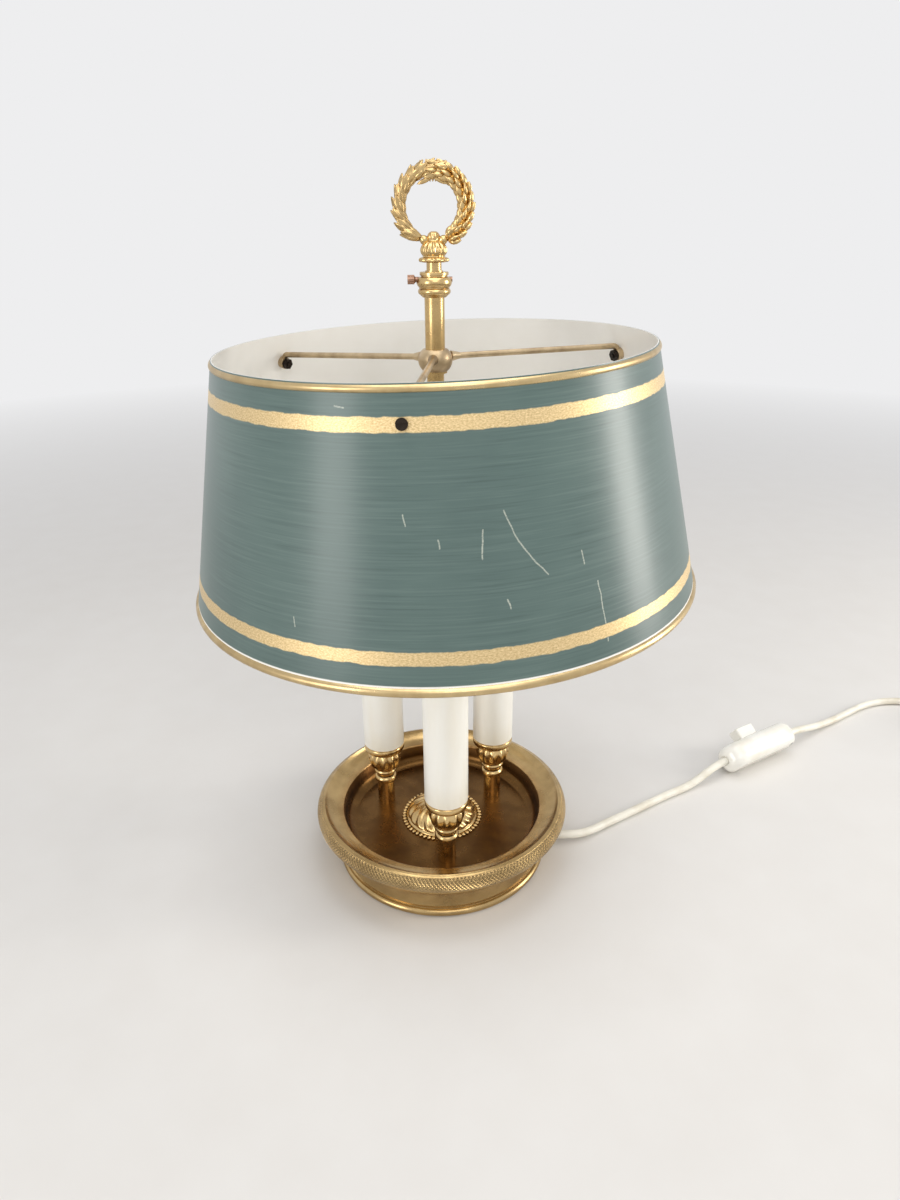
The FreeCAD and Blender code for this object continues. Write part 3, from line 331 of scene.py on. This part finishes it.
SIDES = ("front", "left", "right")
polished = brass("polished_brass", tone(216, 186, 132), tone(124, 94, 54), 0.17)
dress(polished, "stem", "handle_rod", "collar", "collar_ring", "sliding_sleeve",
      *(f"candle_post_{side}" for side in SIDES))
dull = brass("dull_brass", tone(206, 184, 150), tone(124, 104, 76), 0.32, tarnish=0.8)
dress(dull, "arm_front", "arm_right", "arm_left", "arm_ball")
trim = brass("trim_brass", tone(208, 184, 138), tone(128, 102, 64), 0.24)
dress(trim, "shade_top_bead", "shade_bottom_bead")
pink = brass("pink_copper", tone(176, 142, 122), tone(120, 84, 66), 0.3)
dress(pink, "clamp_screw", "grub_screw")


# The brass castings are gadrooned: the rosette that holds the stem, the three cups under the candle
# tubes and the handle's neck. Each is drawn up ring by ring in millimetres, its lobes are pressed out,
# and it is then smoothed. A row of small beads runs round the rosette.
CORNERS_PER_LOBE = 4
RIDGE, HOLLOW = 0, 2
MERGED = 0.01 * MM


def lobed(name, lobes, rings):
    """A closed shell round Z through rings of (radius, height, swell of the lobes, twist)."""
    bpy.ops.object.select_all(action="DESELECT")
    radius, height = rings[0][:2]
    bpy.ops.mesh.primitive_circle_add(vertices=lobes * CORNERS_PER_LOBE, radius=radius * MM,
                                      location=(0, 0, height * MM))
    piece = bpy.context.object
    piece.name = piece.data.name = name
    bpy.ops.object.transform_apply()
    bpy.ops.object.mode_set(mode="EDIT")
    bpy.context.tool_settings.mesh_select_mode = (True, False, False)
    bpy.ops.mesh.select_all(action="SELECT")
    old_swell = 0.0
    for wide, high, swell, twist in rings[1:]:
        bpy.ops.mesh.extrude_region_move(TRANSFORM_OT_translate={"value": (0, 0, (high - height) * MM)})
        bpy.ops.transform.resize(value=(wide / radius, wide / radius, 1), center_override=(0, 0, 0))
        bpy.ops.transform.rotate(value=math.radians(twist), orient_axis="Z", center_override=(0, 0, 0))
        mesh = bmesh.from_edit_mesh(piece.data)
        ring = sorted((vertex for vertex in mesh.verts if vertex.select), key=lambda vertex: vertex.index)
        for place, sign in ((RIDGE, 1), (HOLLOW, -1)):
            for k, vertex in enumerate(ring):
                vertex.select = k % CORNERS_PER_LOBE == place
            mesh.select_flush(False)
            press = (1 + sign * swell) / (1 + sign * old_swell)
            bpy.ops.transform.resize(value=(press, press, 1), center_override=(0, 0, 0))
        for vertex in ring:
            vertex.select = True
        mesh.select_flush(True)
        radius, height, old_swell = wide, high, swell
    bpy.ops.mesh.select_all(action="SELECT")
    bpy.ops.mesh.remove_doubles(threshold=MERGED)
    bpy.ops.mesh.normals_make_consistent(inside=False)
    bpy.ops.object.mode_set(mode="OBJECT")
    rounding = piece.modifiers.new("rounding", "SUBSURF")
    rounding.levels = rounding.render_levels = 1
    bpy.ops.object.modifier_apply(modifier=rounding.name)
    bpy.ops.object.shade_smooth()
    return piece


def finished(piece, finish, body, slot, *nodes):
    """Gives a casting its finish and its body, and hides the CAD nodes that it stands for; its slot is not
    used.
    """
    piece.data.materials.clear()
    piece.data.materials.append(finish.material)
    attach(piece, body)
    if nodes:
        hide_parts(*nodes)


def copies(piece, name, placements):
    """One object of copies of a piece, each put at its place; the piece itself goes."""
    bpy.ops.object.select_all(action="DESELECT")
    for placement in placements:
        copy = bpy.data.objects.new(name, piece.data.copy())
        copy.data.transform(placement)
        bpy.context.collection.objects.link(copy)
        copy.select_set(True)
        bpy.context.view_layer.objects.active = copy
    bpy.ops.object.join()
    bpy.data.objects.remove(piece)
    return bpy.context.object


rosette = lobed("rosette_casting", 18, (
    (4.7, 22.9, 0, 0), (22.9, 22.9, 0, 0), (23.5, 23.3, 0, 0), (23.5, 24.0, 0, 0), (22.6, 24.7, 0, 0),
    (22.0, 24.9, 0, 0), (22.2, 25.7, 0.03, 2), (21.4, 27.2, 0.05, 4), (19.4, 29.2, 0.06, 5),
    (16.6, 31.0, 0.06, 5), (13.4, 32.5, 0.06, 5), (10.4, 33.4, 0.05, 4), (8.8, 33.6, 0.02, 2),
    (7.8, 33.7, 0, 0), (6.9, 34.6, 0, 0), (6.6, 35.4, 0, 0), (6.6, 36.9, 0, 0), (5.8, 37.5, 0, 0),
    (5.6, 38.2, 0, 0), (5.6, 44.2, 0, 0), (4.7, 44.3, 0, 0), (4.7, 22.9, 0, 0)))
finished(rosette, polished, "base", "polished_brass", "rosette")
BEADS, BEAD_RADIUS = 54, 1.25 * MM
BEAD_PLACE = (0, -25.0 * MM, 23.5 * MM)
BEAD_SHAPE = (1.0, 1.25, 0.8)
bpy.ops.object.select_all(action="DESELECT")
bpy.ops.mesh.primitive_ico_sphere_add(subdivisions=2, radius=BEAD_RADIUS, location=BEAD_PLACE)
bead = bpy.context.object
bpy.ops.object.transform_apply()
bpy.ops.object.mode_set(mode="EDIT")
bpy.ops.transform.resize(value=BEAD_SHAPE, center_override=BEAD_PLACE)
bpy.ops.object.mode_set(mode="OBJECT")
bpy.ops.object.shade_smooth()
bead_turns = [Matrix.Rotation(2 * math.pi * k / BEADS, 4, "Z") for k in range(BEADS)]
bead_row = copies(bead, "rosette_beads", bead_turns)
finished(bead_row, polished, "base", "polished_brass")

CUP_RINGS = (
    (5.0, 44.2, 0, 0), (6.0, 44.25, 0, 0), (5.9, 46.2, 0, 0), (7.1, 46.7, 0, 0), (7.7, 47.9, 0, 0),
    (7.2, 49.1, 0, 0), (6.7, 49.5, 0, 0), (7.8, 50.4, 0.03, 0), (9.3, 52.4, 0.06, 0), (10.3, 55.2, 0.08, 0),
    (10.5, 58.0, 0.09, 0), (10.1, 60.6, 0.08, 0), (9.3, 62.2, 0.04, 0), (9.0, 63.0, 0, 0),
    (9.6, 63.7, 0, 0), (11.6, 64.4, 0, 0), (12.8, 65.1, 0, 0), (13.2, 65.9, 0, 0), (13.2, 68.3, 0, 0),
    (12.9, 69.1, 0, 0), (12.3, 69.2, 0, 0), (12.0, 70.0, 0, 0), (11.9, 75.0, 0, 0), (10.9, 75.0, 0, 0),
    (10.9, 67.6, 0, 0), (5.0, 66.4, 0, 0), (5.0, 44.2, 0, 0))
CANDLE_CIRCLE, CANDLE_TURN = 41.9 * MM, 3.8
for side, turn in zip(SIDES, (CANDLE_TURN, CANDLE_TURN - 120, CANDLE_TURN + 120)):
    cup = lobed("leaf_cup_casting_" + side, 12, CUP_RINGS)
    angle = math.radians(turn)
    spot = (CANDLE_CIRCLE * math.sin(angle), -CANDLE_CIRCLE * math.cos(angle), 0)
    cup.data.transform(Matrix.Translation(spot))
    finished(cup, polished, "base", "polished_brass", "leaf_cup_" + side)


# The handle is a cast laurel wreath in polished brass, on a fluted neck. One pointed leaf with a midrib
# is modelled and laid along both branches: plainly overlapping on the left, wound like a rope on the
# right. More of its copies make the tips' bundle, the arch below it and the two buds at the neck.
NECK_BASE, WREATH_HEIGHT, WREATH_RADIUS = 365.7, 391.0, 15.6
neck = lobed("wreath_neck", 14, tuple(
    (radius, NECK_BASE + height, swell, 0) for radius, height, swell in (
        (0.2, 0, 0), (6.6, 0, 0), (7.4, 0.5, 0.05), (7.6, 1.3, 0.07), (7.2, 2.1, 0.06), (5.8, 2.5, 0.02),
        (5.3, 2.9, 0), (6.0, 3.7, 0.06), (6.6, 5.2, 0.10), (6.3, 7.0, 0.11), (5.2, 8.6, 0.10),
        (3.8, 9.6, 0.05), (2.6, 9.9, 0), (3.1, 10.9, 0.04), (3.2, 12.2, 0.05), (2.5, 13.6, 0.04),
        (1.2, 14.3, 0), (0.2, 14.5, 0), (0.2, 0, 0))))
finished(neck, polished, "base", "polished_brass", "wreath_handle")

# The leaf is one unit long, wide and deep. Beyond each distance from its middle it narrows to a share
# of its size, and its tip lifts.
LEAF_NARROWING = ((0.15, 0.94, 0.03), (0.3, 0.80, 0.06), (0.42, 0.55, 0.10))
MIDRIB_DEPTH, MIDRIB_END = 0.16, 0.47
bpy.ops.object.select_all(action="DESELECT")
bpy.ops.mesh.primitive_uv_sphere_add(segments=12, ring_count=8, radius=0.5, rotation=(0, math.pi / 2, 0))
blade = bpy.context.object
bpy.ops.object.transform_apply()
bpy.ops.object.mode_set(mode="EDIT")
for reach, narrower, lift in LEAF_NARROWING:
    for end in (-1, 1):
        mesh = bmesh.from_edit_mesh(blade.data)
        for vertex in mesh.verts:
            vertex.select = vertex.co.x * end > reach
        mesh.select_flush(False)
        bpy.ops.transform.resize(value=(1, narrower, narrower), center_override=(0, 0, 0))
        if end > 0:
            bpy.ops.transform.translate(value=(0, 0, lift))
mesh = bmesh.from_edit_mesh(blade.data)
for vertex in mesh.verts:
    on_top = abs(vertex.co.y) < 0.02 and vertex.co.z > 0.05
    vertex.select = on_top and abs(vertex.co.x) < MIDRIB_END
mesh.select_flush(False)
bpy.ops.transform.translate(value=(0, 0, -MIDRIB_DEPTH))
bpy.ops.mesh.select_all(action="SELECT")
bpy.ops.transform.translate(value=(0.5, 0, 0))
bpy.ops.object.mode_set(mode="OBJECT")
bpy.ops.object.shade_smooth()


def laid(root, along, outward, size):
    """Puts a leaf's root at a place, with its direction, its upper face and its size in millimetres."""
    x_axis = along.normalized()
    y_axis = outward.cross(x_axis).normalized()
    z_axis = x_axis.cross(y_axis)
    turned = Matrix((x_axis, y_axis, z_axis)).transposed().to_4x4()
    return Matrix.Translation(root * MM) @ turned @ Matrix.Diagonal((*(c * MM for c in size), 1))


LEAVES_ROUND, BRANCH_START, BRANCH_SWEEP, CORE_RADIUS = 6, -66, 146, 1.4
LEAF_WIDTH, LEAF_DEPTH = 4.9, 2.4
BRANCHES = ((-1, "wreath_branch_left", 10, 0.0, 10.4), (1, "wreath_branch_right", 12, 0.6, 7.4))
centre = Vector((0, 0, WREATH_HEIGHT))
rear = Vector((0, 1, 0))
upward = Vector((0, 0, 1))
for side, name, rows, winding, length in BRANCHES:
    leaves = []
    for row in range(rows):
        sweep = math.radians(BRANCH_START + BRANCH_SWEEP * row / (rows - 1))
        out = Vector((side * math.cos(sweep), 0, math.sin(sweep)))
        along = Vector((-side * math.sin(sweep), 0, math.cos(sweep)))
        for k in range(LEAVES_ROUND):
            around = 2 * math.pi * (k + 0.5 * (row % 2)) / LEAVES_ROUND
            normal = out * math.cos(around) + rear * math.sin(around)
            heading = along + normal * (0.10 - 0.25 * winding) + normal.cross(along) * winding
            root = centre + out * WREATH_RADIUS + normal * CORE_RADIUS
            leaves.append(laid(root, heading, normal, (length, LEAF_WIDTH, LEAF_DEPTH)))
    model = bpy.data.objects.new(name + "_leaf", blade.data.copy())
    bpy.context.collection.objects.link(model)
    finished(copies(model, name, leaves), polished, "base", "polished_brass", "wreath_handle")
TIP_SIZE, TIP_GAP, TIP_FAN, TIP_DROP = (10.2, 3.2, 4.4), 1.2, 0.20, 5
ARCH_SIZE, ARCH_REACH, ARCH_HEIGHT, ARCH_RISE = (8.8, 2.4, 3.0), 7.8, 9.6, 0.42
BUD_SIZE, BUD_REACH, BUD_HEIGHT, BUD_RISE = (6.2, 4.2, 5.0), 1.6, 9.8, 0.18
crown = []
for k in (-2, -1, 0, 1, 2):
    root = centre + Vector((TIP_GAP * k, 0, WREATH_RADIUS - TIP_DROP))
    crown.append(laid(root, Vector((TIP_FAN * k, 0, 1)), -rear, TIP_SIZE))
for side in (-1, 1):
    root = centre + Vector((side * ARCH_REACH, 0, ARCH_HEIGHT))
    crown.append(laid(root, Vector((-side, 0, ARCH_RISE)), -rear, ARCH_SIZE))
    root = Vector((side * BUD_REACH, 0, NECK_BASE + BUD_HEIGHT))
    crown.append(laid(root, Vector((side, 0, BUD_RISE)), upward, BUD_SIZE))
finished(copies(blade, "wreath_crown", crown), polished, "base", "polished_brass", "wreath_handle")


# The dish is spun from one brass sheet. Its inside is darker and browner than its rim, with fine rings
# from spinning, and its floor is painted far darker as painted shade in the recess under the shade;
# the foot's mouldings are rubbed bright, and the ovolo is knurled in small diamonds.
DISH_EDGE, OVOLO_BOTTOM, OVOLO_TOP, OVOLO_INNER = 0.0656, 0.0301, 0.0403, 0.0764
FLOOR_UNDER, FLOOR_TOP, COVE_FOOT, COVE_TOP = 0.020, 0.0222, 0.0290, 0.0355
KNURL_COUNT, KNURL_HEIGHT = 220, 0.0022
spun_brass = Finish("dish_brass", Metallic=1.0)
x, y, z = spun_brass.axes()
reach = spun_brass.sum("SQRT", x * x + y * y)
within_edge = spun_brass.step(reach, DISH_EDGE + 0.004, DISH_EDGE - 0.002)
inside = within_edge * spun_brass.step(z, FLOOR_UNDER, FLOOR_TOP)
cloud = spun_brass.noise(26.0, 7.0, rough=0.62)
stain = spun_brass.noise(95.0, 5.0)
worn = spun_brass.step(cloud * 0.7 + stain * 0.3, 0.36, 0.66)
outer_colour = spun_brass.mix(worn * 0.6, tone(196, 168, 118), tone(112, 86, 52))
cove_colour = spun_brass.mix(worn, tone(196, 160, 108), tone(132, 98, 58))
# Painted shade: the floor inside the dish gets a far darker colour, for the shade in its recess.
shaded_floor_colour = spun_brass.mix(worn, tone(116, 84, 46), tone(78, 54, 28))
inner_colour = spun_brass.mix(spun_brass.step(z, COVE_FOOT, COVE_TOP), shaded_floor_colour, cove_colour)
spun_brass.set(Base_Color=spun_brass.mix(inside, outer_colour, inner_colour),
               Roughness=worn * 0.10 + inside * 0.04 + stain * 0.05 + 0.17)
ring_lines = spun_brass.noise(1.0, 2.0, spun_brass.joined(reach * 2400.0, z * 2400.0, 0.0))
around = spun_brass.sum("ARCTAN2", x, y) * KNURL_COUNT
height = z * (2 * math.pi / KNURL_HEIGHT)
left_cuts, right_cuts = (spun_brass.sum("SINE", wave) for wave in (around + height, around - height))
above_bottom = spun_brass.step(z, OVOLO_BOTTOM, OVOLO_BOTTOM + 0.0003)
below_top = spun_brass.step(z, OVOLO_TOP, OVOLO_TOP - 0.0003)
on_ovolo = above_bottom * below_top * spun_brass.step(reach, OVOLO_INNER, OVOLO_INNER + 0.0004)
knurl = spun_brass.sum("MINIMUM", left_cuts, right_cuts) * on_ovolo
spun_brass.bump(knurl + (ring_lines * 0.8 + stain * 0.2) * 0.06, 0.0006, 0.9)
dress(spun_brass, "base_dish")


# The candle tubes are smooth, satin and warm white, yellowed in patches and darker and yellower towards
# the foot. In each stands a dark moulded lampholder with a frosted bulb, whose cap's thread is in its
# finish.
FOOT_TINT_TOP, FOOT_TINT_END = 0.086, 0.070
THREAD_PITCH = 0.0028
wax_white = Finish("candle_white", Coat_Weight=0.1)
x, y, z = wax_white.axes()
yellowed = wax_white.noise(1.0, 4.0, wax_white.stretched(60.0, 60.0, 12.0))
# Darker and yellower towards the foot of each tube.
foot_tint = wax_white.step(z, FOOT_TINT_TOP, FOOT_TINT_END)
yellow_tint = wax_white.clamp(wax_white.step(yellowed, 0.45, 0.8) * 0.6 + foot_tint * 0.5)
wax_white.set(Base_Color=wax_white.mix(yellow_tint, tone(246, 244, 236), tone(232, 224, 204)),
              Roughness=yellowed * 0.12 + 0.26)
wax_white.bump(wax_white.noise(1.0, 3.0, wax_white.stretched(400.0, 400.0, 60.0)), 0.00006, 0.4)
dress(wax_white, *(f"candle_tube_{side}" for side in SIDES))
holder = Finish("dark_holder", Roughness=0.5)
holder.set(Base_Color=holder.mix(holder.noise(120.0), tone(30, 27, 25), tone(52, 47, 43)))
holder.bump(holder.noise(500.0), 0.0001, 0.4)
dress(holder, *(f"lampholder_{side}" for side in SIDES))
cap = Finish("cap_metal", Metallic=1.0)
x, y, z = cap.axes()
thread = cap.sum("SINE", z * (2 * math.pi / THREAD_PITCH))
cap.set(Base_Color=cap.mix(cap.noise(200.0), tone(196, 192, 184), tone(150, 146, 138)),
        Roughness=cap.noise(300.0) * 0.2 + 0.22)
cap.bump(thread, 0.0006, 0.8)
dress(cap, *(f"bulb_cap_{side}" for side in SIDES))
frosted = Finish("frosted_glass", IOR=1.45, Transmission_Weight=0.35)
frosted.set(Base_Color=frosted.mix(frosted.noise(60.0), tone(248, 246, 240), tone(236, 232, 222)),
            Roughness=frosted.noise(400.0) * 0.1 + 0.3)
dress(frosted, *(f"bulb_glass_{side}" for side in SIDES))


# Inside the foot: rough cast ballast, plated nuts, a nylon block, and green felt below with its short
# fibres. The shade's screws and nuts follow here, in blackened steel.
steel = Finish("plain_steel", Metallic=1.0)
zinc = steel.noise(260.0, 5.0)
steel.set(Base_Color=steel.mix(zinc, tone(176, 176, 172), tone(128, 128, 124)),
          Roughness=zinc * 0.25 + 0.25)
dress(steel, "stem_washer", "stem_nut", "stem_seat_nut", "post_nuts", "switch_mechanism", "switch_screws")
black_steel = Finish("dark_steel", Metallic=1.0)
oxide = black_steel.noise(420.0, 5.0)
black_steel.set(Base_Color=black_steel.mix(oxide, tone(62, 54, 48), tone(34, 30, 28)),
                Roughness=oxide * 0.25 + 0.32)
dress(black_steel, "shade_screws", "shade_nuts")
iron = Finish("cast_ballast", Metallic=0.6)
sand = iron.noise(320.0, 6.0)
iron.set(Base_Color=iron.mix(sand, tone(66, 64, 62), tone(38, 36, 35)), Roughness=sand * 0.3 + 0.5)
iron.bump(sand, 0.0006, 0.7)
dress(iron, "ballast")
nylon = Finish("white_nylon", Roughness=0.45)
nylon.set(Base_Color=nylon.mix(nylon.noise(90.0), tone(232, 229, 218), tone(214, 208, 192)))
dress(nylon, "terminal_block", "cord_bushing")
felt = Finish("green_felt", Roughness=0.95)
fibre = felt.noise(900.0, 8.0, rough=0.7)
felt.set(Base_Color=felt.mix(fibre, tone(38, 74, 52), tone(62, 104, 76)))
felt.bump(fibre, 0.0007, 0.9)
dress(felt, "felt_pad")


# The shade is a cone of sheet metal, painted green outside and white inside. Two gilt stripes run
# round it, and thin scratches show in the paint. It leans a little, as its arms hold it.
SHADE_LEAN, LEAN_HEIGHT = math.radians(-1.88), 0.3185
SHADE_TOP_RADIUS, SHADE_BOTTOM_RADIUS, SHADE_MIDDLE_RADIUS = 0.1133, 0.1393, 0.125
SHADE_TOP, SHADE_BOTTOM, SHADE_GAUGE = 0.3268, 0.1988, 0.0007
STRIPES = ((0.2118, 0.2178), (0.3078, 0.3140))
STRIPE_BLUR = 0.00025
LEDGE_TOP = 0.2030
paint = Finish("green_paint", Coat_Weight=0.22, Coat_Roughness=0.22)
upright = Matrix.Rotation(-SHADE_LEAN, 3, "Y")
pivot = Vector((0, 0, LEAN_HEIGHT))
on_shade = paint.add("ShaderNodeMapping", None, {
    "Vector": paint.place, "Rotation": upright.to_euler(), "Location": pivot - upright @ pivot})
x, y, z = paint.axes(on_shade)
reach = paint.sum("SQRT", x * x + y * y)
slope = (SHADE_BOTTOM_RADIUS - SHADE_TOP_RADIUS) / (SHADE_TOP - SHADE_BOTTOM)
wall = (SHADE_TOP - z) * slope + SHADE_TOP_RADIUS
outside = paint.step(reach - wall, -0.6 * SHADE_GAUGE, -0.4 * SHADE_GAUGE)
turn = paint.sum("ARCTAN2", x, 0.0 - y)
round_it = turn * SHADE_MIDDLE_RADIUS
brushed = paint.noise(1.0, 5.0, paint.joined(round_it * 22.0, z * 900.0, 0.0), rough=0.6)
broad_place = paint.joined(paint.sum("SINE", turn) * 2.2, paint.sum("COSINE", turn) * 2.2, z * 9.0)
broad = paint.noise(1.0, 3.0, broad_place)
green = paint.mix(paint.step(broad, 0.35, 0.7), tone(76, 98, 94), tone(88, 109, 104))
green = paint.mix(paint.step(brushed, 0.50, 0.78) * 0.45, green, tone(114, 134, 127))
green = paint.mix(paint.step(brushed, 0.46, 0.26) * 0.45, green, tone(54, 74, 70))
waver = (paint.noise(1.0, 3.0, paint.joined(round_it * 160.0, z * 60.0, 3.0)) - 0.5) * 0.0016
grain = paint.noise(1.0, 4.0, paint.joined(round_it * 900.0, z * 1700.0, 0.0), rough=0.7)
gilt = paint.mix(paint.step(grain, 0.36, 0.66), tone(196, 168, 116), tone(240, 216, 168))
height = z + waver
stripes = 0.0
for low, high in STRIPES:
    above = paint.step(height, low - STRIPE_BLUR, low + STRIPE_BLUR)
    below = paint.step(height, high + STRIPE_BLUR, high - STRIPE_BLUR)
    stripes = above * below + stripes
stripes = stripes * paint.step(grain, 0.22, 0.34)
ledge = paint.step(z, LEDGE_TOP, LEDGE_TOP - 0.0004)
# Scratches: height above the table and turn from the front at each end, in millimetres and degrees.
SCRATCHES = (
    (275.0, 11.8, 262.0, 14.2), (262.0, 14.2, 246.0, 19.9), (268.0, 7.7, 256.0, 7.3),
    (265.0, -0.9, 261.5, -0.7), (275.5, -7.4, 271.0, -7.0), (253.0, 27.6, 247.0, 27.9),
    (238.0, 30.9, 210.0, 31.8), (238.0, 11.6, 234.0, 11.9), (228.0, -30.5, 224.0, -30.1),
    (318.0, -21.2, 317.4, -19.2),
)
scratched = 0.0
across = round_it / MM
drift = (paint.noise(1.0, 2.0, paint.joined(round_it * 90.0, z * 90.0, 7.0)) - 0.5) * 2.4
for top_height, top_turn, low_height, low_turn in SCRATCHES:
    start = Vector((math.radians(top_turn) * SHADE_MIDDLE_RADIUS / MM, top_height))
    span = Vector((math.radians(low_turn) * SHADE_MIDDLE_RADIUS / MM, low_height)) - start
    off_x, off_z = across - start.x + drift, z / MM - start.y
    along = paint.clamp((off_x * span.x + off_z * span.y) / span.length_squared)
    gap_x, gap_z = off_x - along * span.x, off_z - along * span.y
    gap = paint.sum("SQRT", gap_x * gap_x + gap_z * gap_z)
    scratched = paint.sum("MAXIMUM", paint.step(gap, 0.42, 0.16), scratched)
scratched = scratched * paint.step(grain, 0.30, 0.55) * (1.0 - stripes)
white_paint = paint.mix(paint.noise(50.0, 5.0), tone(251, 250, 246), tone(242, 240, 233))
coloured = paint.mix(stripes, green, gilt)
coloured = paint.mix(scratched * 0.8, coloured, tone(196, 200, 186))
coloured = paint.mix(ledge, coloured, white_paint)
paint.set(Base_Color=paint.mix(outside, white_paint, coloured),
          Roughness=brushed * 0.16 + stripes * 0.1 + 0.28, Metallic=stripes * outside * 0.75)
paint.bump(brushed * 0.5 + stripes * 0.6 + grain * 0.15, 0.00005, 0.6)
dress(paint, "shade_wall")
